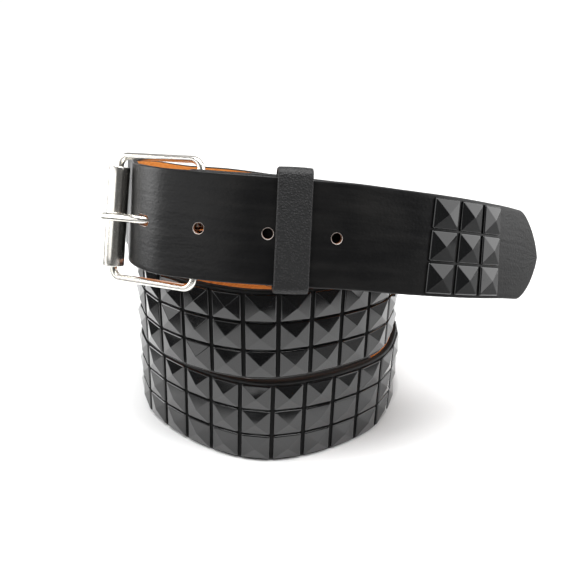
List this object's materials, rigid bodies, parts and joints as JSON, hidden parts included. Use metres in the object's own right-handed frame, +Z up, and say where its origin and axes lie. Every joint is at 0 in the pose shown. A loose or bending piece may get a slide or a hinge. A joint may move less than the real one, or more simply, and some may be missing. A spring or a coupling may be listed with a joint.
{
  "type": "studded belt",
  "caption": "Wide leather belt with rows of pyramid studs and a roller buckle, fastened, wound into a coil and stood on its edge, plain tip across the front.",
  "frame": {"origin": "middle of the whole belt's box, on the surface that the lowest turn stands on", "axes": "+Z up, the way the coil stands; -Y the side with the buckle; +X towards the plain tip"},
  "size_m": [0.1994, 0.1618, 0.1337],
  "materials": {
    "leather": "black satin grain outside, tan flesh side inside",
    "pebbled_leather": "black pebbled grain",
    "enamel": "glossy black enamel",
    "nickel": "polished nickel"
  },
  "bodies": {
    "belt": {"strap": "leather", "stud_field_lower": "enamel", "stud_field_upper": "enamel", "tip_stud_1_1": "enamel", "tip_stud_1_2": "enamel", "tip_stud_1_3": "enamel", "tip_stud_2_1": "enamel", "tip_stud_2_2": "enamel", "tip_stud_2_3": "enamel", "tip_stud_3_1": "enamel", "tip_stud_3_2": "enamel", "tip_stud_3_3": "enamel", "buckle_frame": "nickel", "prong": "nickel", "fold_rivet_1": "nickel", "fold_rivet_2": "nickel", "keeper": "pebbled_leather"},
    "roller": {"roller": "nickel"}
  },
  "joints": [
    {"name": "roller_spin", "type": "hinge", "parent": "belt", "child": "roller", "pos_m": [-0.0867, -0.04811, 0.10526], "axis": [0.0283, 0.2788, 0.9599], "continuous": true}
  ]
}
